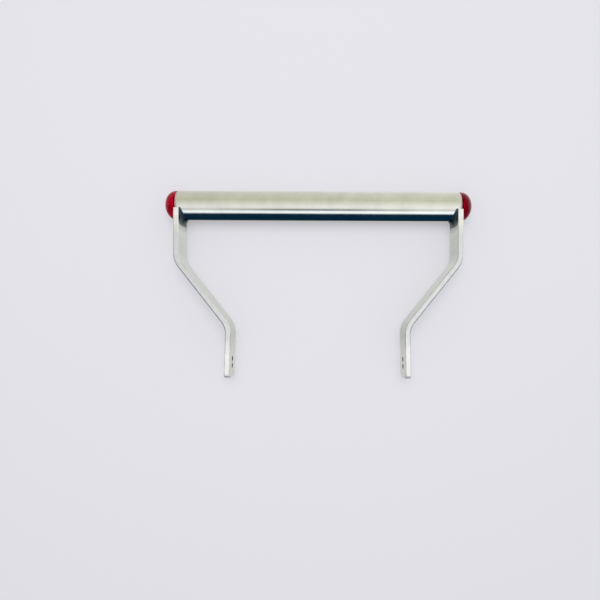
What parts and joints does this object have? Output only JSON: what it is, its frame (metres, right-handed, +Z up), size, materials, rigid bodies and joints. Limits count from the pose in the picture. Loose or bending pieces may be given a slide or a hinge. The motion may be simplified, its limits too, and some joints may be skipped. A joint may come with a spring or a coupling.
{
  "type": "hitch pin lock",
  "caption": "U-shaped bail of polished steel: a round crossbar with red domed end caps, and offset flat arms welded to its ends, with drilled feet that pin to a hitch.",
  "frame": {"origin": "bottom centre of the whole bail as it lies flat", "axes": "+X along the crossbar tube to its right end, +Y from the feet towards the tube, +Z up from the surface it lies on"},
  "size_m": [0.335, 0.204, 0.032],
  "materials": {
    "tube_steel": "hand-polished stainless, faint straight polishing lines",
    "bar_steel": "hand-polished stainless, slightly uneven, with fine scratches",
    "weld_steel": "dressed and polished weld, faintly rippled",
    "red_lens": "clear deep red, glossy",
    "reflector_foil": "silvered and finely faceted",
    "plug_plastic": "moulded, matt",
    "seal_rubber": "thin pale moulded ring"
  },
  "bodies": {
    "root": {"crossbar_tube": "tube_steel", "left_arm": "bar_steel", "left_weld_bead": "weld_steel", "left_seal_ring": "seal_rubber", "left_red_dome": "red_lens", "left_reflector_disc": "reflector_foil", "left_end_plug": "plug_plastic", "right_arm": "bar_steel", "right_weld_bead": "weld_steel", "right_seal_ring": "seal_rubber", "right_red_dome": "red_lens", "right_reflector_disc": "reflector_foil", "right_end_plug": "plug_plastic"}
  },
  "joints": []
}
